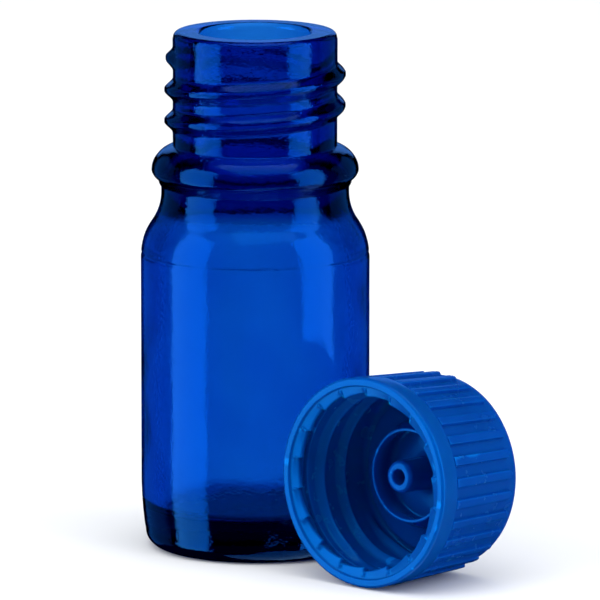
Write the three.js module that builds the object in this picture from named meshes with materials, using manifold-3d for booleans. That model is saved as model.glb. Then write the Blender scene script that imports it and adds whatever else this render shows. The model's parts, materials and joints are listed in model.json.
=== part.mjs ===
// A small prescription vial: a threaded glass bottle, with its ribbed screw cap lying beside it.
// The cap carries a tamper-evident ring at its mouth and a dropper insert inside.
// Millimetres, +Z up. The object stands on Z = 0 and the origin is the middle of its footprint.
import * as THREE from 'three';
import { mergeVertices } from 'three/addons/utils/BufferGeometryUtils.js';
import Module from 'manifold-3d';

const wasm = await Module();
wasm.setup();

// --- driving dimensions: vial ---
const vialHeight = 50;
const bodyRadius = 11;
const wallThickness = 1.8;
const floorThickness = 3.3;
const puntHeight = 0.7;
const bearingOuterRadius = 9;
const bearingWidth = 1.2;
const heelRadius = 1.6;
const heelTaperHeight = 7;
const innerHeelRadius = 1;
const shoulderSlope = 35;
const shoulderConvexShare = 0.573;
const collarHeight = 0.8;
const coreRadius = 7.85;
const boreRadius = 5.25;
const boreLength = 12.5;
const lipRounding = 0.6;
const beadInsideRing = 0.1;
const beadOverCollar = 0.92;
const beadRounding = 0.9;
const beadUnderside = 1.35;
const beadRampRadius = 2.3;

// --- driving dimensions: thread shared by neck and cap ---
const threadPitch = 3;
const threadFadeTurns = 0.2;
const threadClearance = 0.15;
const ridgeSides = 8;
const neckThreadHeight = 0.8;
const neckThreadHalfWidth = 1.15;
const neckThreadTurns = 2.15;
const neckThreadEndBelowLip = 2.5;
const neckThreadDive = 0.88;
const neckThreadStartAngle = THREE.MathUtils.degToRad(144);
const capThreadHalfWidth = 0.7;
const capThreadStart = 3.3;
const capThreadBelowCeiling = 1;

// --- driving dimensions: cap shell, with heights measured from the cap's mouth ---
const capHeight = 12;
const capTopThickness = 1.2;
const capSkirtWall = 0.73;
const capEdgeRadius = 0.55;
const ceilingFillet = 0.5;
const ribCount = 30;
const ribHeight = 0.4;
const ribRoot = 0.3;
const ribWidth = 0.9;
const ribEndMargin = 1.2;
const ribInset = 0.07;
const draftAngle = THREE.MathUtils.degToRad(2.25);

// --- driving dimensions: tamper ring ---
const ringHeight = 2.1;
const ringWall = 1;
const ringRounding = 0.35;
const ringGap = 0.3;
const ringAboveBead = 1.4;
const barbCount = 18;
const barbClearance = 0.3;
const barbStep = 0.35;
const barbDepth = 0.5;
const barbThickness = 0.45;
const barbRun = 0.92;
const bridgeCount = 10;
const bridgeWidth = 0.8;
const bridgeThickness = 0.5;
const bridgeInset = 0.45;
const bridgeReach = 0.18;
const bridgeRoot = 0.3;

// --- driving dimensions: dropper insert ---
const insertGap = 0.3;
const flangeInset = 0.25;
const flangeThickness = 0.8;
const plugClearance = 0.05;
const plugTaper = 0.65;
const plugWall = 0.6;
const plugLength = 3;
const spoutRadius = 1.55;
const spoutBoreRadius = 0.72;
const spoutOverhang = 1.4;
const plugTaperShare = 0.6;
const insertChamfer = 0.35;

// --- driving dimensions: where the cap lies ---
const capDirection = THREE.MathUtils.degToRad(49);
const capToVialGap = 0.05;
const capSetback = 8.8;

// --- sizes shared by pieces that fit each other ---
const shellBore = coreRadius + neckThreadHeight + threadClearance;
const ribTopAtMouth = shellBore + capSkirtWall + ribHeight;
const capRadius = ribTopAtMouth + ribInset;
const shellStart = ringHeight + ringGap;
const shellCeiling = capHeight - capTopThickness;
const insertTop = shellCeiling - insertGap;
const insertSeat = insertTop - flangeThickness;
const beadRadius = capRadius - beadInsideRing;
const coreStart = vialHeight - insertSeat - ringAboveBead;

const roundSegments = 48;
const smallSegments = 36;

// A lathe outline turned about Z, with its first column of vertices on +X.
function turned(outline, segments) {
  const geometry = new THREE.LatheGeometry(outline, segments);
  geometry.rotateX(Math.PI / 2);
  geometry.rotateZ(Math.PI / 2);
  return geometry;
}

// Points of an arc in an outline's (radius, height) plane, angles in degrees from the radius axis.
function arc(centreX, centreY, radius, fromDegrees, toDegrees, steps) {
  const points = [];
  for (let i = 0; i <= steps; i += 1) {
    const angle = THREE.MathUtils.degToRad(fromDegrees + ((toDegrees - fromDegrees) * i) / steps);
    points.push(new THREE.Vector2(centreX + radius * Math.cos(angle), centreY + radius * Math.sin(angle)));
  }
  return points;
}

function at(radius, height) {
  return new THREE.Vector2(radius, height);
}

// A closed surface as a solid that can be joined to others and cut.
function toSolid(geometry) {
  const bare = geometry.clone();
  bare.deleteAttribute('normal');
  bare.deleteAttribute('uv');
  const merged = mergeVertices(bare, 1e-4);
  const index = merged.index.array;
  const triangles = [];
  for (let i = 0; i < index.length; i += 3) {
    const [a, b, c] = [index[i], index[i + 1], index[i + 2]];
    if (a !== b && b !== c && c !== a) {
      triangles.push(a, b, c);
    }
  }
  const mesh = new wasm.Mesh({
    numProp: 3,
    vertProperties: new Float32Array(merged.attributes.position.array),
    triVerts: new Uint32Array(triangles),
  });
  return new wasm.Manifold(mesh);
}

// A solid's surface, with its normals.
function toGeometry(solid) {
  const mesh = solid.getMesh();
  const geometry = new THREE.BufferGeometry();
  geometry.setAttribute('position', new THREE.BufferAttribute(new Float32Array(mesh.vertProperties), 3));
  geometry.setIndex(new THREE.BufferAttribute(new Uint32Array(mesh.triVerts), 1));
  geometry.computeVertexNormals();
  return geometry;
}

// A right-handed helix whose ends dive below the surface that its ridge stands on.
class FadingHelix extends THREE.Curve {
  constructor(radius, start, turns, dive) {
    super();
    Object.assign(this, { radius, start, turns, dive });
  }

  getPoint(t, target = new THREE.Vector3()) {
    const turn = t * this.turns;
    const fromEnd = Math.min(turn, this.turns - turn) / threadFadeTurns;
    const radius = this.radius + this.dive * (1 - Math.min(fromEnd, 1));
    const angle = turn * 2 * Math.PI;
    return target.set(radius * Math.cos(angle), radius * Math.sin(angle), this.start + turn * threadPitch);
  }
}

// A rounded thread ridge: a circle swept along the helix, turned to where the thread starts.
function threadRidge(helix, halfWidth, startAngle = 0) {
  const section = new THREE.Shape(arc(0, 0, halfWidth, 0, 360 - 360 / ridgeSides, ridgeSides - 1));
  const geometry = new THREE.ExtrudeGeometry(section, {
    extrudePath: helix,
    steps: Math.round(helix.turns * roundSegments / 2),
    bevelEnabled: false,
  });
  return toSolid(geometry.rotateZ(startAngle));
}

// --- vial ---
const innerRadius = bodyRadius - wallThickness;
const collarRadius = beadRadius - beadOverCollar;
const slopeCos = Math.cos(THREE.MathUtils.degToRad(shoulderSlope));
const slopeSin = Math.sin(THREE.MathUtils.degToRad(shoulderSlope));
const shoulderReach = (bodyRadius - collarRadius) / (1 - slopeCos);
const shoulderRadius = shoulderReach * shoulderConvexShare;
const collarFillet = shoulderReach - shoulderRadius;
const rampCentre = beadRadius - beadRampRadius;
const rampTopAngle = Math.acos((coreRadius - rampCentre) / beadRampRadius);
const beadMiddle = coreStart - beadRampRadius * Math.sin(rampTopAngle);
const collarTop = beadMiddle - beadUnderside;
const collarStart = collarTop - collarHeight;
const shoulderTop = collarStart - shoulderReach * slopeSin;
const heelFlare = bodyRadius - bearingOuterRadius - heelRadius;

function vialOutside() {
  return [
    at(0, puntHeight),
    at(bearingOuterRadius * 0.5, puntHeight * 0.85),
    at(bearingOuterRadius - bearingWidth - puntHeight, puntHeight * 0.4),
    at(bearingOuterRadius - bearingWidth, 0),
    ...arc(bearingOuterRadius, heelRadius, heelRadius, -90, 0, 4),
    at(bodyRadius - heelFlare * 0.25, heelTaperHeight * 0.5),
    at(bodyRadius, heelTaperHeight),
    ...arc(bodyRadius - shoulderRadius, shoulderTop, shoulderRadius, 0, shoulderSlope, 4),
    ...arc(collarRadius + collarFillet, collarStart, collarFillet, 180 + shoulderSlope, 180, 3).slice(1),
    at(collarRadius, collarTop),
    ...arc(beadRadius - beadRounding, beadMiddle, beadRounding, -70, 0, 3),
    ...arc(rampCentre, beadMiddle, beadRampRadius, 0, THREE.MathUtils.radToDeg(rampTopAngle), 4).slice(1),
    ...arc(coreRadius - lipRounding, vialHeight - lipRounding, lipRounding, 0, 90, 3),
  ];
}

function vialInside() {
  const flareTop = vialHeight - boreLength;
  const flareSteps = 5;
  const flare = [];
  for (let i = 0; i <= flareSteps; i += 1) {
    const share = i / flareSteps;
    const widening = 0.5 - 0.5 * Math.cos(Math.PI * share);
    flare.push(at(
      boreRadius + (innerRadius - boreRadius) * widening,
      flareTop + (shoulderTop - flareTop) * share,
    ));
  }
  const floorHeight = puntHeight + floorThickness;
  return [
    ...arc(boreRadius + lipRounding, vialHeight - lipRounding, lipRounding, 90, 180, 3),
    ...flare,
    ...arc(innerRadius - innerHeelRadius, floorHeight + innerHeelRadius * 0.8, innerHeelRadius, 0, -75, 4),
    at(0, floorHeight),
  ];
}

function vialGeometry() {
  const glass = toSolid(turned([...vialOutside(), ...vialInside()], roundSegments));
  const crestRadius = coreRadius + neckThreadHeight;
  const threadStart = vialHeight - neckThreadEndBelowLip - neckThreadTurns * threadPitch;
  const ridgeRadius = crestRadius - neckThreadHalfWidth;
  const helix = new FadingHelix(ridgeRadius, threadStart, neckThreadTurns, -neckThreadDive);
  const ridge = threadRidge(helix, neckThreadHalfWidth, neckThreadStartAngle);
  return toGeometry(glass.add(ridge));
}

// --- cap shell ---
const ribEnd = capHeight - ribEndMargin;

// Outer radius of the ribs' tops at a height along the cap.
function ribTop(height) {
  return ribTopAtMouth - (height - shellStart) * Math.tan(draftAngle);
}

function shellBody() {
  const edge = capHeight - capEdgeRadius;
  const skirt = ribTop(edge) - ribHeight;
  return toSolid(turned([
    at(0, shellCeiling),
    ...arc(shellBore - ceilingFillet, shellCeiling - ceilingFillet, ceilingFillet, 90, 0, 2),
    at(shellBore, shellStart),
    at(ribTop(shellStart) - ribHeight, shellStart),
    ...arc(skirt - capEdgeRadius, edge, capEdgeRadius, 0, 90, 4),
    at(0, capHeight),
  ], roundSegments));
}

// One grip rib: square where it meets the ring, round at its far end, leaning in with the draft.
function ribGeometry() {
  const half = ribWidth / 2;
  const length = (ribEnd - shellStart) / Math.cos(draftAngle);
  const outline = new THREE.Shape([
    at(-half, 0),
    at(half, 0),
    ...arc(0, length - half, half, 0, 180, 4),
  ]);
  const depth = ribHeight + ribRoot;
  const geometry = new THREE.ExtrudeGeometry(outline, { depth, bevelEnabled: false });
  geometry.translate(0, 0, -depth);
  // The outline's X runs round the cap, its Y along the cap and its depth outward.
  geometry.applyMatrix4(new THREE.Matrix4().makeBasis(
    new THREE.Vector3(0, 1, 0),
    new THREE.Vector3(0, 0, 1),
    new THREE.Vector3(1, 0, 0),
  ));
  geometry.rotateY(-draftAngle);
  geometry.translate(ribTopAtMouth, 0, shellStart);
  return geometry;
}

function shellGeometry() {
  let shell = shellBody();
  for (let i = 0; i < ribCount; i += 1) {
    const rib = ribGeometry();
    rib.rotateZ((i / ribCount) * 2 * Math.PI);
    shell = shell.add(toSolid(rib));
  }
  const ridgeRadius = coreRadius + threadClearance + capThreadHalfWidth;
  const turns = (shellCeiling - capThreadBelowCeiling - capThreadStart) / threadPitch;
  const helix = new FadingHelix(ridgeRadius, capThreadStart, turns, capThreadHalfWidth);
  const rooted = toSolid(turned([
    at(0, 0),
    at(shellBore + threadClearance, 0),
    at(shellBore + threadClearance, capHeight),
    at(0, capHeight),
  ], roundSegments));
  return toGeometry(shell.add(threadRidge(helix, capThreadHalfWidth).intersect(rooted)));
}

// --- tamper ring ---
const ringBore = capRadius - ringWall;
const barbTip = coreRadius + barbClearance;

function ringBand() {
  return toSolid(turned([
    at(ringBore + ringRounding, 0),
    ...arc(capRadius - ringRounding, ringRounding, ringRounding, -90, 0, 3),
    at(capRadius, ringHeight),
    at(ringBore, ringHeight),
    at(barbTip, barbDepth + barbThickness),
    at(barbTip, barbDepth),
    at(ringBore, ringRounding),
    at(ringBore + ringRounding, 0),
  ], roundSegments));
}

// A ratchet outline that trims the flap into barbs: each grows outward over one pitch and steps back.
function barbCutter() {
  const outline = [];
  const steps = 4;
  for (let i = 0; i < barbCount; i += 1) {
    for (let j = 0; j < steps; j += 1) {
      const share = j / (steps - 1);
      const angle = ((i + share * barbRun) / barbCount) * 2 * Math.PI;
      const radius = barbTip + barbStep * share;
      outline.push(at(radius * Math.cos(angle), radius * Math.sin(angle)));
    }
  }
  const geometry = new THREE.ExtrudeGeometry(new THREE.Shape(outline), {
    depth: ringHeight * 2,
    bevelEnabled: false,
  });
  geometry.translate(0, 0, -ringHeight / 2);
  return toSolid(geometry);
}

// The stubs of the webs that the ring tears from.
function bridgeGeometry() {
  const geometry = new THREE.BoxGeometry(bridgeThickness, bridgeWidth, bridgeReach + bridgeRoot);
  geometry.translate(ringBore + bridgeInset, 0, ringHeight + (bridgeReach - bridgeRoot) / 2);
  return geometry;
}

function ringGeometry() {
  let ring = ringBand().subtract(barbCutter());
  for (let i = 0; i < bridgeCount; i += 1) {
    const bridge = bridgeGeometry();
    bridge.rotateZ(((i + 0.5) / bridgeCount) * 2 * Math.PI);
    ring = ring.add(toSolid(bridge));
  }
  return toGeometry(ring);
}

// --- dropper insert ---
function insertGeometry() {
  const flangeRadius = coreRadius - flangeInset;
  const plugRadius = boreRadius - plugClearance;
  const plugTip = plugRadius - plugTaper;
  const plugEnd = insertSeat - plugLength;
  const spoutEnd = plugEnd - spoutOverhang;
  return turned([
    at(spoutBoreRadius, insertTop),
    at(spoutBoreRadius, spoutEnd),
    at(spoutRadius - insertChamfer, spoutEnd),
    at(spoutRadius, spoutEnd + insertChamfer),
    at(spoutRadius, insertSeat),
    at(plugRadius - plugWall, insertSeat),
    at(plugTip - plugWall, plugEnd),
    at(plugTip - insertChamfer, plugEnd),
    at(plugTip, plugEnd + insertChamfer),
    at(plugRadius, plugEnd + plugLength * plugTaperShare),
    at(plugRadius, insertSeat),
    at(flangeRadius, insertSeat),
    at(flangeRadius, insertTop),
    at(spoutBoreRadius, insertTop),
  ], smallSegments);
}

// --- assembly ---
function part(name, geometry, colour, roughness) {
  const material = new THREE.MeshStandardMaterial({ color: colour, roughness, metalness: 0 });
  const mesh = new THREE.Mesh(geometry, material);
  mesh.name = name;
  return mesh;
}

// The cap lies on the back edge of its ring and the far end of one rib, its mouth turned to the front.
function lyingCap() {
  const tilt = Math.atan2(capRadius - ribTop(ribEnd), ribEnd - ringHeight);
  const along = new THREE.Vector3(Math.cos(capDirection), Math.sin(capDirection), 0);
  const aside = new THREE.Vector3(-along.y, along.x, 0);
  const axis = along.clone().multiplyScalar(Math.cos(tilt)).setZ(-Math.sin(tilt));
  const down = along.clone().multiplyScalar(-Math.sin(tilt)).setZ(-Math.cos(tilt));
  const cap = new THREE.Group();
  cap.quaternion.setFromRotationMatrix(new THREE.Matrix4().makeBasis(down, axis.clone().cross(down), axis));
  cap.position.copy(aside).multiplyScalar(-(bodyRadius + capToVialGap + capRadius));
  cap.position.addScaledVector(along, -capSetback);
  cap.position.z = capRadius * Math.cos(tilt) + ringHeight * Math.sin(tilt);
  cap.add(
    part('cap_shell', shellGeometry(), 0x1f7fd0, 0.4),
    part('tamper_ring', ringGeometry(), 0x2a8cda, 0.4),
    part('dropper_insert', insertGeometry(), 0x1866bb, 0.4),
  );
  return cap;
}

const vial = new THREE.Group();
vial.add(part('vial_body', vialGeometry(), 0x0a3fae, 0.05), lyingCap());

// The origin is the middle of the footprint.
const object = new THREE.Group();
object.add(vial);
const box = new THREE.Box3().setFromObject(object, true);
vial.position.set(-(box.min.x + box.max.x) / 2, -(box.min.y + box.max.y) / 2, -box.min.z);

export default object;
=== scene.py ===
"""A small cobalt-blue prescription vial, with its ribbed screw cap lying beside it.

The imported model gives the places. Each of its four nodes is replaced by a finer mesh of the same piece, built
here as rows of points round the piece's own axis. Sizes are in millimetres until a mesh is placed.
"""
import json
import math

import bpy
import numpy as np
from mathutils import Matrix, Vector, noise


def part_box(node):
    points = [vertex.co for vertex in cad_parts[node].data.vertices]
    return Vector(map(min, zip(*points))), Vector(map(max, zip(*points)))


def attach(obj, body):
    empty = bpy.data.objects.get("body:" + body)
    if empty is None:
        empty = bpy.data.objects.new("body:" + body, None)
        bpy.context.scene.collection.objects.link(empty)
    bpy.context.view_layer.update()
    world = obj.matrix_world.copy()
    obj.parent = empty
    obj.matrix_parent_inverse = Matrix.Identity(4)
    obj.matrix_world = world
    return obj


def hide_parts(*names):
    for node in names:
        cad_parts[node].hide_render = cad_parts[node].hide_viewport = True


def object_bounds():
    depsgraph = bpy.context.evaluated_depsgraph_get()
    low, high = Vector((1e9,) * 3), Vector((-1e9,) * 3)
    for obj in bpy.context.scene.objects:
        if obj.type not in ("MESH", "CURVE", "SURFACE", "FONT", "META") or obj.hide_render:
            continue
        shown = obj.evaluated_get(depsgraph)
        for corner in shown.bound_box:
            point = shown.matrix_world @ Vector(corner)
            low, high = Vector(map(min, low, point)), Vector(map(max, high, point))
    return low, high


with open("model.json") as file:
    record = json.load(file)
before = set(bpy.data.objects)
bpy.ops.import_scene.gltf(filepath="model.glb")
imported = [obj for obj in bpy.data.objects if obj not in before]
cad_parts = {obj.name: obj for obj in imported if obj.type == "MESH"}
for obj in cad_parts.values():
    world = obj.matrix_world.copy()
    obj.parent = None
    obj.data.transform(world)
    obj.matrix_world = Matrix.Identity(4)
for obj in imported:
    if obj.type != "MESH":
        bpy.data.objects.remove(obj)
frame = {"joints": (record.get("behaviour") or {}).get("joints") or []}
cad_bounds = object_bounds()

MM = 0.001

# --- vial sizes ---
VIAL_HEIGHT = 50.0
BODY_RADIUS = 11.0
WALL = 1.8
FLOOR_THICKNESS = 3.3
PUNT_HEIGHT = 0.7
PUNT_CURVE = 2.6
BEARING_RADIUS = 9.0
BEARING_WIDTH = 1.2
BEARING_ROUNDING = 0.3
HEEL_RADIUS = 1.6
HEEL_TAPER_HEIGHT = 7.0
INNER_HEEL_RADIUS = 1.0
SHOULDER_SLOPE = math.radians(35)
SHOULDER_CONVEX_SHARE = 0.573
COLLAR_HEIGHT = 0.8
COLLAR_FILLET = 0.25
CORE_RADIUS = 7.85
BORE_RADIUS = 5.25
BORE_LENGTH = 12.5
LIP_ROUNDING = 0.6
BEAD_INSIDE_RING = 0.1
BEAD_OVER_COLLAR = 0.92
BEAD_ROUNDING = 0.9
BEAD_UNDERSIDE = 1.35
BEAD_RAMP_RADIUS = 2.3
RING_ABOVE_BEAD = 1.4
MOULD_SEAM_WIDTH = 0.22
MOULD_SEAM_HEIGHT = 0.05
MOULD_SEAM_FLAT_SHARE = 0.3
BLOW_LINE_DEPTH = 0.07
BLOW_LINE_WIDTH = 0.2
BLOW_LINE_UP = 0.5
BLOW_LINE_BAND = 0.8

# --- thread sizes ---
THREAD_PITCH = 3.0
THREAD_CLEARANCE = 0.15
STRAIGHT_FLANK_SHARE = 0.6
NECK_THREAD_HEIGHT = 0.8
NECK_THREAD_FOOT = 1.1
NECK_THREAD_CREST = 0.22
NECK_THREAD_TURNS = 2.15
NECK_THREAD_FADE = 0.07
NECK_THREAD_END_BELOW_LIP = 2.5
NECK_THREAD_START = math.radians(144)
CAP_THREAD_HEIGHT = 0.72
CAP_THREAD_FOOT = 0.66
CAP_THREAD_CREST = 0.1
CAP_THREAD_FADE = 0.1
CAP_THREAD_START = 3.3
CAP_THREAD_BELOW_CEILING = 1.0

# --- cap sizes, with heights measured from the cap's mouth ---
CAP_HEIGHT = 12.0
CAP_TOP_THICKNESS = 1.2
CAP_SKIRT_WALL = 0.73
CAP_EDGE_RADIUS = 0.55
CEILING_FILLET = 0.5
PANEL_INSET = 1.5
PANEL_DEPTH = 0.12
PANEL_ROUNDING = 0.15
SHELL_START_ROUNDING = 0.08
SHELL_REACH_DOWN = 0.1
RIB_COUNT = 30
RIB_HEIGHT = 0.4
RIB_WIDTH = 0.9
RIB_END_MARGIN = 1.2
RIB_INSET = 0.07
RIB_EDGE = 0.06
DRAFT = math.radians(2.25)
RING_HEIGHT = 2.1
RING_WALL = 1.0
RING_ROUNDING = 0.35
RING_REACH_UP = 0.04
RING_GAP = 0.3
FLAP_START = 0.3
BARB_COUNT = 18
BARB_CLEARANCE = 0.3
BARB_STEP = 0.35
BARB_DEPTH = 0.5
BARB_THICKNESS = 0.45
BARB_RIDGE = 0.16
BRIDGE_COUNT = 10
BRIDGE_WIDTH = 0.8
BRIDGE_EDGE = 0.08
BRIDGE_GAP_SHARE = 0.4

# --- dropper insert sizes ---
INSERT_GAP = 0.3
FLANGE_INSET = 0.25
FLANGE_THICKNESS = 0.8
FLANGE_ROUNDING = 0.15
PLUG_CLEARANCE = 0.05
PLUG_TAPER = 0.65
PLUG_WALL = 0.6
PLUG_LENGTH = 3.0
PLUG_TIP_ROUNDING = 0.12
PLUG_STRAIGHT_SHARE = 0.6
SPOUT_RADIUS = 1.55
SPOUT_BORE_RADIUS = 0.72
SPOUT_OVERHANG = 1.4
SPOUT_TIP_ROUNDING = 0.45
SPOUT_ROOT_FILLET = 0.6

# --- sizes that follow from the others ---
SHELL_BORE = CORE_RADIUS + NECK_THREAD_HEIGHT + THREAD_CLEARANCE
RIB_TOP_AT_MOUTH = SHELL_BORE + CAP_SKIRT_WALL + RIB_HEIGHT
CAP_RADIUS = RIB_TOP_AT_MOUTH + RIB_INSET
SHELL_START = RING_HEIGHT + RING_GAP
SHELL_CEILING = CAP_HEIGHT - CAP_TOP_THICKNESS
INSERT_TOP = SHELL_CEILING - INSERT_GAP
INSERT_SEAT = INSERT_TOP - FLANGE_THICKNESS
BEAD_RADIUS = CAP_RADIUS - BEAD_INSIDE_RING
COLLAR_RADIUS = BEAD_RADIUS - BEAD_OVER_COLLAR
CORE_START = VIAL_HEIGHT - INSERT_SEAT - RING_ABOVE_BEAD
INNER_RADIUS = BODY_RADIUS - WALL

# How far a mesh keeps inside the CAD model's outermost surface.
SKIN = 0.015

# --- unevenness of moulded surfaces: the size of its waves, their height, and a shift between surfaces ---
GLASS_OUTSIDE_WAVES = (3.2, 0.025, 3.0)
GLASS_INSIDE_WAVES = (4.5, 0.12, 9.0)
SHELL_WAVES = (3.0, 0.016, 21.0)
RING_WAVES = (2.4, 0.03, 33.0)
INSERT_WAVES = (1.8, 0.02, 47.0)

# How far a surface is drawn in, so that its waves stay inside the CAD model.
GLASS_DRAWN_IN = 0.013
SHELL_DRAWN_IN = 0.011
RING_DRAWN_IN = 0.02

# --- spacing of the meshes' points ---
BODY_SPACING = 0.6
BLOW_LINE_SPACING = 0.07
NECK_SPACING = 0.14
INSIDE_SPACING = 0.8
VIAL_COLUMNS = 240
CEILING_SPACING = 1.4
BORE_SPACING = 0.11
SKIRT_SPACING = 0.45
RIB_END_SPACING = 0.06
INSERT_COLUMNS = 144
INSERT_SPACING = 0.5


# --- points ---
def smooth(low, high, value):
    """0 below low, 1 above high and an S-curve between them."""
    share = np.clip((value - low) / (high - low), 0.0, 1.0)
    return share * share * (3 - 2 * share)


def arc(centre_radius, centre_height, radius, start, stop, steps):
    """Points of an arc in an outline's (radius, height) plane, angles in degrees from the radius axis."""
    turns = np.radians(np.linspace(start, stop, steps + 1))
    return [(centre_radius + radius * math.cos(t), centre_height + radius * math.sin(t)) for t in turns]


def finer(outline, longest, lowest=-math.inf, highest=math.inf):
    """The outline with points added between two heights, so that no stretch there is longer than longest."""
    points = [outline[0]]
    for (r0, z0), (r1, z1) in zip(outline, outline[1:]):
        inside = lowest < (z0 + z1) / 2 < highest
        steps = max(1, math.ceil(math.hypot(r1 - r0, z1 - z0) / longest)) if inside else 1
        points += [(r0 + (r1 - r0) * k / steps, z0 + (z1 - z0) * k / steps) for k in range(1, steps + 1)]
    return points


def even_angles(count):
    return np.arange(count) * 2 * math.pi / count


def turned(outline, angles):
    """The radius, angle and height of each outline point (a row) at each angle (a column)."""
    radius, height = np.array(outline).T
    shape = (len(outline), len(angles))
    return (
        np.broadcast_to(radius[:, None], shape).copy(),
        np.broadcast_to(angles[None, :], shape).copy(),
        np.broadcast_to(height[:, None], shape).copy(),
    )


def thread_ridge(angle, height, start, start_angle, turns, foot, crest, fade):
    """0 to 1: how much of a right-handed thread's height stands at each point."""
    first = ((angle - start_angle) / (2 * math.pi)) % 1.0
    ridge = np.zeros_like(height)
    for k in range(math.ceil(turns)):
        along = first + k
        away = np.abs(height - start - along * THREAD_PITCH)
        from_end = np.minimum(along, turns - along)
        flank = np.clip((foot - away) / (foot - crest), 0.0, 1.0)
        profile = STRAIGHT_FLANK_SHARE * flank + (1 - STRAIGHT_FLANK_SHARE) * smooth(0.0, 1.0, flank)
        ridge = np.maximum(ridge, profile * smooth(0.0, fade, from_end))
    return ridge


def wobble(radius, angle, height, size, amount, seed):
    """A slow unevenness of moulded surfaces, in millimetres, over waves of the given size."""
    x = radius * np.cos(angle) / size + seed
    y = radius * np.sin(angle) / size
    z = height / size
    flat = [noise.noise(Vector(p)) for p in zip(x.ravel(), y.ravel(), z.ravel())]
    return amount * np.array(flat).reshape(radius.shape)


# --- meshes ---
def solid(name, radius, angle, height, place, poles):
    """A closed mesh from rows of points. The rows end in two points on the axis, or close on themselves."""
    rows, columns = radius.shape
    points = np.stack([radius * np.cos(angle), radius * np.sin(angle), height], axis=-1).reshape(-1, 3)
    row, column = np.meshgrid(np.arange(rows - 1 if poles else rows), np.arange(columns), indexing="ij")
    after, beside = (row + 1) % rows, (column + 1) % columns
    quads = np.stack([
        row * columns + column,
        row * columns + beside,
        after * columns + beside,
        after * columns + column,
    ], axis=-1).reshape(-1, 4).tolist()
    faces = quads
    if poles:
        first, last = len(points), len(points) + 1
        points = np.vstack([points, [[0, 0, height[0, 0]], [0, 0, height[-1, 0]]]])
        end = (rows - 1) * columns
        for k in range(columns):
            beyond = (k + 1) % columns
            faces.append([first, beyond, k])
            faces.append([last, end + k, end + beyond])
    mesh = bpy.data.meshes.new(name)
    mesh.from_pydata((points * MM).tolist(), [], faces)
    mesh.transform(place)
    if volume(mesh) < 0:
        mesh.flip_normals()
    mesh.shade_smooth()
    piece = bpy.data.objects.new(name, mesh)
    bpy.context.collection.objects.link(piece)
    return piece


def volume(mesh):
    """Six times the mesh's signed volume."""
    mesh.calc_loop_triangles()
    points = np.array([v.co for v in mesh.vertices])
    corners = points[np.array([t.vertices[:] for t in mesh.loop_triangles])]
    return float(np.einsum("ij,ij->i", corners[:, 0], np.cross(corners[:, 1], corners[:, 2])).sum())


# --- places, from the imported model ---
vial_low, vial_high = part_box("vial_body")
vial_axis = Vector(((vial_low.x + vial_high.x) / 2, (vial_low.y + vial_high.y) / 2, vial_low.z))
vial_place = Matrix.Translation(vial_axis)

# The cap's joint sits at the middle of the cap's height, and its axis runs from the mouth to the closed end.
cap_turn = next(joint for joint in frame["joints"] if joint["name"] == "cap_turn")
cap_axis = Vector(cap_turn["axis"]).normalized()
cap_mouth = Vector(cap_turn["pos_m"]) - cap_axis * (CAP_HEIGHT / 2 * MM)
cap_down = (Vector((0, 0, -1)) + cap_axis * cap_axis.z).normalized()
cap_place = Matrix.Translation(cap_mouth) @ Matrix(
    (cap_down, cap_axis.cross(cap_down), cap_axis)
).transposed().to_4x4()


# --- materials ---
class Finish:
    """A node material with the few kinds of node that every finish here is made of."""

    def __init__(self, name):
        self.material = bpy.data.materials.new(name)
        self.material.use_nodes = True
        self.tree = self.material.node_tree
        self.shader = self.tree.nodes["Principled BSDF"]
        self.output = self.tree.nodes["Material Output"]
        self.place = self.add("ShaderNodeTexCoord").outputs["Object"]

    def add(self, kind):
        return self.tree.nodes.new(kind)

    def link(self, source, target):
        self.tree.links.new(source, target)

    def noise(self, features_per_metre, detail=2.0, roughness=0.5):
        node = self.add("ShaderNodeTexNoise")
        node.inputs["Scale"].default_value = features_per_metre
        node.inputs["Detail"].default_value = detail
        node.inputs["Roughness"].default_value = roughness
        self.link(self.place, node.inputs["Vector"])
        return node.outputs["Fac"]

    def between(self, value, low, high, to_low=0.0, to_high=1.0):
        node = self.add("ShaderNodeMapRange")
        node.inputs["From Min"].default_value = low
        node.inputs["From Max"].default_value = high
        node.inputs["To Min"].default_value = to_low
        node.inputs["To Max"].default_value = to_high
        self.link(value, node.inputs["Value"])
        return node.outputs["Result"]

    def mix(self, share, first, second):
        node = self.add("ShaderNodeMix")
        node.data_type = "RGBA"
        self.link(share, node.inputs["Factor"])
        inputs = [s for s in node.inputs if s.type == "RGBA"]
        for socket, colour in zip(inputs, (first, second)):
            if isinstance(colour, tuple):
                socket.default_value = (*colour, 1.0)
            else:
                self.link(colour, socket)
        return next(s for s in node.outputs if s.type == "RGBA")

    def height_along_z(self):
        node = self.add("ShaderNodeSeparateXYZ")
        self.link(self.place, node.inputs["Vector"])
        return node.outputs["Z"]

    def bump(self, height, distance, strength=1.0, below=None, share=None):
        node = self.add("ShaderNodeBump")
        node.inputs["Distance"].default_value = distance
        node.inputs["Strength"].default_value = strength
        self.link(height, node.inputs["Height"])
        if below:
            self.link(below, node.inputs["Normal"])
        if share:
            self.link(share, node.inputs["Strength"])
        return node.outputs["Normal"]

    def set(self, **values):
        for name, value in values.items():
            self.shader.inputs[name.replace("_", " ")].default_value = value


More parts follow.
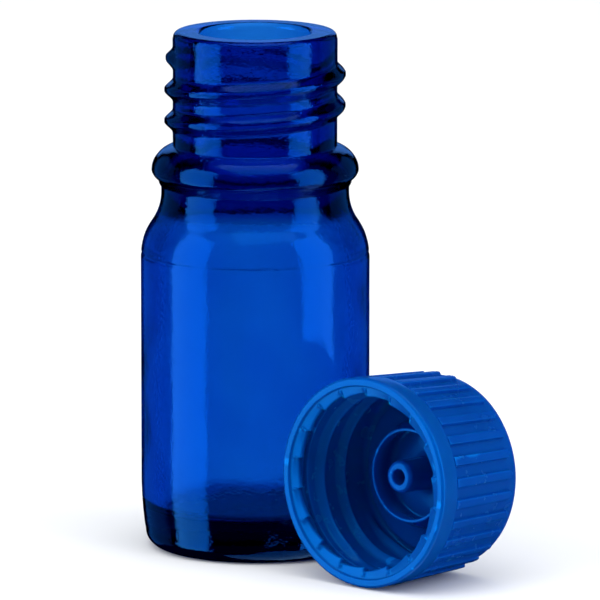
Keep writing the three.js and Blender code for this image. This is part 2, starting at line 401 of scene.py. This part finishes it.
def glass_finish():
    """Clear cobalt glass: deep blue by absorption, with the faint orange peel of a moulded surface."""
    finish = Finish("cobalt_glass")
    finish.set(
        Base_Color=(0.93, 0.97, 1.0, 1.0),
        Transmission_Weight=1.0,
        IOR=1.5,
        Specular_Tint=(0.0, 0.3, 1.0, 1.0),
    )
    gloss = finish.between(finish.noise(260, 3), 0.35, 0.7, 0.004, 0.016)
    finish.link(gloss, finish.shader.inputs["Roughness"])
    slow = finish.bump(finish.noise(620, 2), 0.00003, 0.7)
    neck = finish.between(finish.height_along_z(), 0.031, 0.036, 0.75, 1.0)
    peel = finish.bump(finish.noise(3300, 2, 0.5), 0.00002, below=slow, share=neck)
    finish.link(peel, finish.shader.inputs["Normal"])
    absorption = finish.add("ShaderNodeVolumeAbsorption")
    absorption.inputs["Color"].default_value = (0.02, 0.6, 0.875, 1.0)
    absorption.inputs["Density"].default_value = 2000.0
    finish.link(absorption.outputs["Volume"], finish.output.inputs["Volume"])
    return finish.material


def plastic_finish(name, shade, light, edge, roughness):
    """Satin moulded plastic: slightly uneven colour, convex edges painted paler as a highlight (partly also the
    paler look of thin translucent plastic) and a fine grain.
    """
    finish = Finish(name)
    body = finish.mix(finish.between(finish.noise(240, 3), 0.35, 0.65), shade, light)
    # Sharp convex edges, found by pointiness, take the edge colour: a painted highlight, partly also the paler
    # look of thin translucent plastic.
    edge_highlight_pointiness = finish.add("ShaderNodeNewGeometry").outputs["Pointiness"]
    colour = finish.mix(finish.between(edge_highlight_pointiness, 0.53, 0.64), body, edge)
    finish.link(colour, finish.shader.inputs["Base Color"])
    finish.set(
        IOR=1.49,
        Specular_Tint=(0.0, 0.5, 1.0, 1.0),
        Subsurface_Weight=0.4,
        Subsurface_Radius=(0.05, 0.35, 1.0),
        Subsurface_Scale=0.0025,
    )
    gloss = finish.between(finish.noise(700, 4), 0.3, 0.7, roughness - 0.04, roughness + 0.05)
    finish.link(gloss, finish.shader.inputs["Roughness"])
    slow = finish.bump(finish.noise(330, 2), 0.000015, 0.5)
    grain = finish.bump(finish.noise(9000, 3, 0.6), 0.000004, 0.5, below=slow)
    finish.link(grain, finish.shader.inputs["Normal"])
    return finish.material


# --- vial ---
def vial_outside():
    reach = (BODY_RADIUS - COLLAR_RADIUS) / (1 - math.cos(SHOULDER_SLOPE))
    convex = reach * SHOULDER_CONVEX_SHARE
    fillet = reach - convex
    ramp_centre = BEAD_RADIUS - BEAD_RAMP_RADIUS
    ramp_top = math.acos((CORE_RADIUS - ramp_centre) / BEAD_RAMP_RADIUS)
    bead_middle = CORE_START - BEAD_RAMP_RADIUS * math.sin(ramp_top)
    collar_top = bead_middle - BEAD_UNDERSIDE
    collar_start = collar_top - COLLAR_HEIGHT
    shoulder_top = collar_start - reach * math.sin(SHOULDER_SLOPE)
    slope = math.degrees(SHOULDER_SLOPE)

    bearing_inner = BEARING_RADIUS - BEARING_WIDTH
    punt = [
        (bearing_inner * s, PUNT_HEIGHT * (1 - s ** PUNT_CURVE))
        for s in np.linspace(0.08, 0.97, 14)
    ]
    flare = BODY_RADIUS - BEARING_RADIUS - HEEL_RADIUS
    heel = []
    for s in np.linspace(0, 1, 9)[1:]:
        heel.append((BODY_RADIUS - flare * (1 - s) ** 2, HEEL_RADIUS + (HEEL_TAPER_HEIGHT - HEEL_RADIUS) * s))
    outline = [
        *punt,
        *arc(bearing_inner + BEARING_ROUNDING, BEARING_ROUNDING, BEARING_ROUNDING, 225, 270, 3),
        *arc(BEARING_RADIUS, HEEL_RADIUS, HEEL_RADIUS, 270, 360, 14),
        *heel,
        *arc(BODY_RADIUS - convex, shoulder_top, convex, 0, slope, 14),
        *arc(COLLAR_RADIUS + fillet, collar_start, fillet, 180 + slope, 180, 12)[1:],
        *arc(COLLAR_RADIUS + COLLAR_FILLET, collar_top - COLLAR_FILLET, COLLAR_FILLET, 180, 100, 4),
        *arc(BEAD_RADIUS - BEAD_ROUNDING, bead_middle, BEAD_ROUNDING, -75, 0, 9),
        *arc(ramp_centre, bead_middle, BEAD_RAMP_RADIUS, 0, math.degrees(ramp_top), 14)[1:],
        *arc(CORE_RADIUS - LIP_ROUNDING, VIAL_HEIGHT - LIP_ROUNDING, LIP_ROUNDING, 0, 90, 9),
    ]
    return outline, shoulder_top


def vial_inside(shoulder_top):
    flare_top = VIAL_HEIGHT - BORE_LENGTH
    flare = []
    for s in np.linspace(0, 1, 22):
        widening = 0.5 - 0.5 * math.cos(math.pi * s)
        radius = BORE_RADIUS + (INNER_RADIUS - BORE_RADIUS) * widening
        flare.append((radius, flare_top + (shoulder_top - flare_top) * s))
    floor_height = PUNT_HEIGHT + FLOOR_THICKNESS
    heel_centre = floor_height + INNER_HEEL_RADIUS * 0.8
    heel = arc(INNER_RADIUS - INNER_HEEL_RADIUS, heel_centre, INNER_HEEL_RADIUS, 0, -72, 10)
    floor = []
    for s in np.linspace(0.9, 0.06, 9):
        floor.append((heel[-1][0] * s, floor_height + (heel[-1][1] - floor_height) * s ** 3))
    return [
        *arc(BORE_RADIUS + LIP_ROUNDING, VIAL_HEIGHT - LIP_ROUNDING, LIP_ROUNDING, 90, 180, 9),
        *flare,
        *heel,
        *floor,
    ]


def make_vial():
    outside, shoulder_top = vial_outside()
    body_rows = [p for p in outside if p[1] < CORE_START]
    neck_rows = [p for p in outside if p[1] >= CORE_START]
    blow_height = shoulder_top + BLOW_LINE_UP
    body_rows = finer(
        finer(body_rows, BODY_SPACING),
        BLOW_LINE_SPACING,
        blow_height - BLOW_LINE_BAND,
        blow_height + BLOW_LINE_BAND,
    )
    rows = body_rows[:-1] + finer([body_rows[-1], *neck_rows], NECK_SPACING)
    count_outside = len(rows)
    rows += finer(vial_inside(shoulder_top), INSIDE_SPACING)

    seam_offsets = np.array([-2, -1, -0.5, 0, 0.5, 1, 2]) * MOULD_SEAM_WIDTH / BODY_RADIUS
    seams = np.concatenate([seam_offsets, seam_offsets + math.pi])
    angles = np.unique(np.round(np.concatenate([even_angles(VIAL_COLUMNS), seams % (2 * math.pi)]), 6))
    radius, angle, height = turned(rows, angles)

    outer = np.zeros(len(rows), bool)
    outer[:count_outside] = True
    outer = outer[:, None] & np.ones_like(radius, bool)

    thread_start = VIAL_HEIGHT - NECK_THREAD_END_BELOW_LIP - NECK_THREAD_TURNS * THREAD_PITCH
    ridge = thread_ridge(
        angle,
        height,
        thread_start,
        NECK_THREAD_START,
        NECK_THREAD_TURNS,
        NECK_THREAD_FOOT,
        NECK_THREAD_CREST,
        NECK_THREAD_FADE,
    )
    on_neck = outer & (height > CORE_START) & (height < VIAL_HEIGHT - LIP_ROUNDING)
    radius = np.where(on_neck, radius + ridge * NECK_THREAD_HEIGHT, radius)

    # The seam between the mould's halves, and the line where the blow mould met the neck mould.
    from_seam = np.abs((angle + math.pi / 2) % math.pi - math.pi / 2) * radius
    on_side = outer & (height > HEEL_RADIUS) & (height < VIAL_HEIGHT - LIP_ROUNDING)
    seam = MOULD_SEAM_HEIGHT * (1 - smooth(MOULD_SEAM_FLAT_SHARE, 1.0, from_seam / MOULD_SEAM_WIDTH))
    below_full = smooth(0.0, 0.6, BODY_RADIUS - radius) + (height > CORE_START)
    radius = np.where(on_side, radius + seam * np.clip(below_full, 0, 1), radius)
    blow_line = BLOW_LINE_DEPTH * np.exp(-(((height - blow_height) / BLOW_LINE_WIDTH) ** 2))
    radius = np.where(outer, radius - blow_line, radius)

    uneven = np.where(
        outer,
        wobble(radius, angle, height, *GLASS_OUTSIDE_WAVES) - GLASS_DRAWN_IN,
        wobble(radius, angle, height, *GLASS_INSIDE_WAVES),
    )
    free = smooth(1.0, 3.0, radius) * smooth(0.3, 2.5, height) * smooth(0.2, 1.5, VIAL_HEIGHT - height)
    radius = np.minimum(radius + uneven * free, BODY_RADIUS - SKIN)
    height = np.minimum(height, VIAL_HEIGHT - SKIN)

    vial = solid("vial_glass_body", radius, angle, height, vial_place, poles=True)
    vial.data.materials.append(glass_finish())
    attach(vial, "vial")
    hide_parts("vial_body")


# --- cap shell ---
def rib_top(height):
    return RIB_TOP_AT_MOUTH - (height - SHELL_START) * math.tan(DRAFT)


def make_shell():
    edge = CAP_HEIGHT - CAP_EDGE_RADIUS
    skirt_top = rib_top(edge) - RIB_HEIGHT
    rib_end = CAP_HEIGHT - RIB_END_MARGIN
    fillet_end = SHELL_CEILING - CEILING_FILLET
    rounding = SHELL_START_ROUNDING
    start = SHELL_START - SHELL_REACH_DOWN
    skirt_start = rib_top(start) - RIB_HEIGHT
    panel = skirt_top - PANEL_INSET
    panel_height = CAP_HEIGHT - PANEL_DEPTH
    inside = [
        *[(s * 1.0, SHELL_CEILING) for s in (0.3, 1.0)],
        *finer([(1.0, SHELL_CEILING), (SHELL_BORE - CEILING_FILLET, SHELL_CEILING)], CEILING_SPACING)[1:],
        *arc(SHELL_BORE - CEILING_FILLET, fillet_end, CEILING_FILLET, 90, 0, 6)[1:],
        *finer([(SHELL_BORE, fillet_end), (SHELL_BORE, start + rounding)], BORE_SPACING)[1:],
        *arc(SHELL_BORE + rounding, start + rounding, rounding, 180, 270, 3)[1:],
    ]
    gate_mark = [(0.95, 0.0), (0.75, 0.02), (0.6, 0.08), (0.3, 0.09)]
    wall = [
        (skirt_start, start + rounding),
        (rib_top(rib_end - RIB_WIDTH) - RIB_HEIGHT, rib_end - RIB_WIDTH),
    ]
    tip = [wall[-1], (rib_top(rib_end + 0.2) - RIB_HEIGHT, rib_end + 0.2)]
    outside = [
        *arc(skirt_start - rounding, start + rounding, rounding, 270, 360, 3)[:-1],
        *finer(wall, SKIRT_SPACING),
        *finer(tip, RIB_END_SPACING)[1:],
        *arc(skirt_top - CAP_EDGE_RADIUS, edge, CAP_EDGE_RADIUS, 0, 90, 9),
        *arc(panel + PANEL_ROUNDING, CAP_HEIGHT - PANEL_ROUNDING, PANEL_ROUNDING, 90, 130, 2),
        *arc(panel - 0.1, panel_height + PANEL_ROUNDING, PANEL_ROUNDING, -40, -90, 2),
        (panel * 0.7, panel_height),
        (panel * 0.4, panel_height),
        *[(reach, panel_height + rise) for reach, rise in gate_mark],
    ]
    rows = inside + outside

    pitch = 2 * math.pi / RIB_COUNT
    half = RIB_WIDTH / 2
    across_rib = np.array([
        0.0,
        0.2,
        half - RIB_EDGE,
        half - RIB_EDGE / 2,
        half,
        half + RIB_EDGE / 2,
        half + RIB_EDGE,
        0.78,
    ])
    offsets = np.concatenate([across_rib, -across_rib[1:]]) / RIB_TOP_AT_MOUTH
    angles = np.sort(np.concatenate([
        (offsets + k * pitch) % (2 * math.pi) for k in range(RIB_COUNT)
    ] + [even_angles(RIB_COUNT) + pitch / 2]))
    radius, angle, height = turned(rows, angles)

    inner = np.arange(len(rows))[:, None] < len(inside)
    turns = (SHELL_CEILING - CAP_THREAD_BELOW_CEILING - CAP_THREAD_START) / THREAD_PITCH
    ridge = thread_ridge(
        angle, height, CAP_THREAD_START, 0.0, turns, CAP_THREAD_FOOT, CAP_THREAD_CREST, CAP_THREAD_FADE
    )
    on_bore = inner & (radius > SHELL_BORE - 0.01)
    radius = np.where(on_bore, radius - ridge * CAP_THREAD_HEIGHT, radius)

    across = np.abs((angle + pitch / 2) % pitch - pitch / 2) * RIB_TOP_AT_MOUTH
    past_round = np.maximum(height - (rib_end - half), 0)
    away = np.hypot(across, past_round) - half
    rib = 1 - smooth(-RIB_EDGE, RIB_EDGE, away)
    on_skirt = ~inner & (height < edge) & (height > start)
    radius = np.where(on_skirt, radius + rib * RIB_HEIGHT, radius)

    uneven = wobble(radius, angle, height, *SHELL_WAVES) - SHELL_DRAWN_IN
    radius = np.maximum(radius + np.where(radius > 2, uneven, 0), 0.05)
    height = np.minimum(height, CAP_HEIGHT - SKIN)

    shell = solid("cap_shell_ribbed", radius, angle, height, cap_place, poles=True)
    # The third colour is the painted highlight on the shell's convex edges, such as the rib edges.
    shell.data.materials.append(
        plastic_finish("cap_plastic", (0.0, 0.043, 0.26), (0.0, 0.05, 0.29), (0.0, 0.1, 0.44), 0.24)
    )
    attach(shell, "cap")
    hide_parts("cap_shell")


# --- tamper ring ---
def make_ring():
    bore = CAP_RADIUS - RING_WALL
    outer = CAP_RADIUS - SKIN
    tip = CORE_RADIUS + BARB_CLEARANCE
    tip_end = BARB_DEPTH + BARB_THICKNESS
    top = RING_HEIGHT + RING_REACH_UP
    flap_face = finer([(bore + 0.08, FLAP_START), (tip + 0.08, BARB_DEPTH - 0.02)], 0.1)
    flap_back = finer([(tip + 0.07, tip_end), (bore - 0.02, top - 0.1)], 0.25)
    rows = [
        *arc(outer - RING_ROUNDING, RING_ROUNDING, RING_ROUNDING, 0, -90, 8),
        (bore + 0.42, 0.0),
        *arc(bore + 0.32, 0.1, 0.1, 270, 180, 3),
        (bore + 0.2, 0.2),
        (bore + 0.15, FLAP_START - 0.02),
        *flap_face,
        (tip + 0.02, BARB_DEPTH + 0.03),
        (tip, BARB_DEPTH + 0.1),
        (tip, tip_end - 0.08),
        *flap_back,
        (bore + 0.04, top - 0.03),
        (bore + 0.1, top),
        (bore + 0.22, top),
        (bore + 0.28, top),
        (bore + 0.62, top),
        (bore + 0.68, top),
        *arc(outer - 0.1, top - 0.1, 0.1, 90, 0, 3),
        (outer, 1.4),
        (outer, 0.8),
    ]
    pitch = 2 * math.pi / BARB_COUNT
    ridge_start, ridge_full, step_start, ridge_fall, step_end = 0.84, 0.9, 0.925, 0.945, 0.975
    at_the_step = [0.87, ridge_full, step_start, ridge_fall, 0.96, step_end]
    shares = np.concatenate([np.linspace(0, ridge_start, 11), at_the_step])
    angles = np.concatenate([(shares + k) * pitch for k in range(BARB_COUNT)])
    radius, angle, height = turned(rows, angles)

    # Each barb's tip grows outward over one pitch and steps back; a low ridge runs down its face at the step.
    share = (angle / pitch) % 1.0
    inward = 1 - smooth(tip - 0.02, bore + 0.04, radius)
    falling = 1 - smooth(step_start, step_end, share)
    step = BARB_STEP * np.where(share < step_start, share / step_start, falling)
    ridge = smooth(ridge_start, ridge_full, share) * (1 - smooth(ridge_fall, step_end, share))
    on_flap = (height > FLAP_START - 0.01) & (height < top - 0.02) & (radius < bore + 0.1)
    on_face = on_flap & (height < BARB_DEPTH)
    radius = np.where(on_flap, radius + step * inward, radius)
    lowered = BARB_RIDGE * ridge * smooth(0.0, 0.3, bore + 0.1 - radius)
    height = np.where(on_face, height - lowered, height)

    # The stubs of the webs that the ring tears from.
    bridge_pitch = 2 * math.pi / BRIDGE_COUNT
    from_bridge = np.abs(angle % bridge_pitch - bridge_pitch / 2) * radius
    half = BRIDGE_WIDTH / 2
    stub = (1 - smooth(half - BRIDGE_EDGE, half + BRIDGE_EDGE, from_bridge)) * RING_GAP * BRIDGE_GAP_SHARE
    on_top = (height > top - 0.001) & (radius > bore + 0.2) & (radius < bore + 0.66)
    height = np.where(on_top, height + stub, height)

    uneven = wobble(radius, angle, height, *RING_WAVES) - RING_DRAWN_IN
    radius = np.minimum(radius + uneven, outer)
    height = np.maximum(height, SKIN)

    ring = solid("tamper_ring_band", radius, angle, height, cap_place, poles=False)
    # The third colour is the painted highlight on the ring's convex edges.
    ring.data.materials.append(
        plastic_finish("ring_plastic", (0.0, 0.05, 0.26), (0.0, 0.058, 0.29), (0.0, 0.13, 0.5), 0.22)
    )
    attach(ring, "ring")
    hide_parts("tamper_ring")


# --- dropper insert ---
def make_insert():
    flange = CORE_RADIUS - FLANGE_INSET
    plug = BORE_RADIUS - PLUG_CLEARANCE
    plug_tip = plug - PLUG_TAPER
    plug_end = INSERT_SEAT - PLUG_LENGTH
    spout_end = plug_end - SPOUT_OVERHANG
    tip = SPOUT_TIP_ROUNDING
    root = SPOUT_ROOT_FILLET
    plug_round = PLUG_TIP_ROUNDING
    edge = FLANGE_ROUNDING
    rows = [
        (SPOUT_BORE_RADIUS, INSERT_TOP - 0.1),
        (SPOUT_BORE_RADIUS, spout_end + 0.2),
        *arc(SPOUT_BORE_RADIUS + 0.15, spout_end + 0.15, 0.15, 180, 270, 4),
        *arc(SPOUT_RADIUS - tip, spout_end + tip, tip, 270, 360, 7),
        (SPOUT_RADIUS, spout_end + 0.9),
        (SPOUT_RADIUS + 0.03, INSERT_SEAT - 1.2),
        *arc(SPOUT_RADIUS + 0.03 + root, INSERT_SEAT - root, root, 180, 90, 7),
        (plug - PLUG_WALL - 0.5, INSERT_SEAT),
        *arc(plug - PLUG_WALL - 0.3, INSERT_SEAT - 0.3, 0.3, 90, 10, 4),
        (plug_tip - PLUG_WALL + 0.22, plug_end + 0.9),
        *arc(plug_tip - PLUG_WALL + 0.36, plug_end + 0.1, 0.1, 180, 270, 3),
        *arc(plug_tip - plug_round, plug_end + plug_round, plug_round, 270, 360, 4),
        (plug, plug_end + PLUG_LENGTH * PLUG_STRAIGHT_SHARE),
        (plug, INSERT_SEAT - 0.15),
        *arc(plug + 0.12, INSERT_SEAT - 0.12, 0.12, 180, 90, 3),
        (flange * 0.85, INSERT_SEAT),
        *arc(flange - edge, INSERT_SEAT + edge, edge, 270, 360, 3),
        *arc(flange - edge, INSERT_TOP - edge, edge, 0, 90, 3),
        (flange * 0.6, INSERT_TOP),
        *arc(SPOUT_BORE_RADIUS + 0.1, INSERT_TOP - 0.1, 0.1, 90, 180, 3)[:-1],
    ]
    outline = finer([*rows, rows[0]], INSERT_SPACING)[:-1]
    radius, angle, height = turned(outline, even_angles(INSERT_COLUMNS))
    radius = radius + wobble(radius, angle, height, *INSERT_WAVES)
    insert = solid("dropper_insert_moulded", radius, angle, height, cap_place, poles=False)
    # The third colour is the painted highlight on the insert's convex edges.
    insert.data.materials.append(
        plastic_finish("insert_plastic", (0.0, 0.03, 0.22), (0.0, 0.035, 0.25), (0.0, 0.08, 0.4), 0.2)
    )
    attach(insert, "insert")
    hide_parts("dropper_insert")


# --- studio ---
WHITE = (1.0, 1.0, 1.0)
SKY = (0.1, 0.55, 1.0)
DEEP_BLUE = (0.02, 0.24, 1.0)
LAMP_DISTANCE = 0.9
FLOOR_HALF = 2.5
FLOOR_GAP = 0.00002
CAMERA_LENS = 510
CAMERA_TARGET = Vector((4.3, 3.0, 23.3))
CAMERA_ELEVATION = math.radians(10.37)
CAMERA_DISTANCE = 0.82


def aim(thing, place, target):
    thing.location = place
    thing.rotation_euler = (target - place).to_track_quat("-Z", "Y").to_euler()


def lamp_place(azimuth, elevation):
    """A point round the vial: azimuth 0 is the camera's side, and it grows to the camera's right."""
    a, e = math.radians(azimuth), math.radians(elevation)
    return vial_axis + LAMP_DISTANCE * Vector(
        (math.sin(a) * math.cos(e), -math.cos(a) * math.cos(e), math.sin(e))
    )


def softbox(name, azimuth, elevation, width, height, radiance, colour=WHITE, lights=True, reflects=True):
    """A soft rectangular lamp aimed at the vial: it lights surfaces, shows in their reflections, or both."""
    light = bpy.data.lights.new(name, "AREA")
    light.color = colour
    light.shape = "RECTANGLE"
    light.size = width
    light.size_y = height
    light.energy = radiance * math.pi * width * height
    lamp = bpy.data.objects.new(name, light)
    bpy.context.collection.objects.link(lamp)
    aim(lamp, lamp_place(azimuth, elevation), vial_axis + Vector((0, 0, VIAL_HEIGHT / 2 * MM)))
    lamp.visible_camera = False
    lamp.visible_transmission = False
    lamp.visible_diffuse = lights
    lamp.visible_glossy = reflects


def sheet(name, corners, colour):
    mesh = bpy.data.meshes.new(name)
    mesh.from_pydata([tuple(c) for c in corners], [], [(0, 1, 2, 3)])
    board = bpy.data.objects.new(name, mesh)
    bpy.context.collection.objects.link(board)
    finish = Finish(name)
    finish.set(Base_Color=(*colour, 1.0), Roughness=0.9, Specular_IOR_Level=0.1)
    board.data.materials.append(finish.material)
    return board


def make_floor():
    half = FLOOR_HALF
    z = cad_bounds[0].z - FLOOR_GAP
    floor = sheet(
        "studio_floor",
        [(-half, -half, z), (half, -half, z), (half, half, z), (-half, half, z)],
        (0.86, 0.87, 0.88),
    )
    floor.visible_glossy = False


def make_studio():
    make_floor()
    softbox("key_left", -60, 28, 0.7, 0.7, 3.2, reflects=False)
    softbox("key_right", 60, 28, 0.6, 0.7, 2.4, reflects=False)
    softbox("key_top", 15, 75, 0.9, 0.9, 1.7)
    softbox("strip_left", -71, 4, 0.7, 1.55, 6.2, SKY, lights=False)
    softbox("strip_right", 67, 11, 0.6, 1.3, 6.2, SKY, lights=False)
    softbox("rim_left", -128, 0, 0.8, 1.0, 0.45, DEEP_BLUE, lights=False)
    softbox("rim_right", 128, 0, 0.8, 1.0, 0.45, DEEP_BLUE, lights=False)
    softbox("back_low", 180, 14, 0.6, 0.3, 1.1, (0.08, 0.3, 1.0), lights=False)
    softbox("table_glow", 50, -62, 1.3, 1.2, 1.5, (0.3, 0.62, 1.0), lights=False)
    world = bpy.data.worlds.new("studio")
    world.use_nodes = True
    world.node_tree.nodes["Background"].inputs["Color"].default_value = (0.95, 0.97, 1.0, 1.0)
    world.node_tree.nodes["Background"].inputs["Strength"].default_value = 0.74
    bpy.context.scene.world = world
    world.cycles_visibility.glossy = False
    bpy.context.scene.view_settings.view_transform = "Standard"


def make_camera():
    camera = bpy.data.objects.new("camera", bpy.data.cameras.new("camera"))
    bpy.context.collection.objects.link(camera)
    camera.data.lens = CAMERA_LENS
    camera.data.clip_end = 20
    target = vial_axis + CAMERA_TARGET * MM
    back = Vector((0, -math.cos(CAMERA_ELEVATION), math.sin(CAMERA_ELEVATION)))
    aim(camera, target + CAMERA_DISTANCE * back, target)
    bpy.context.scene.camera = camera


make_camera()
make_vial()
make_shell()
make_ring()
make_insert()
make_studio()
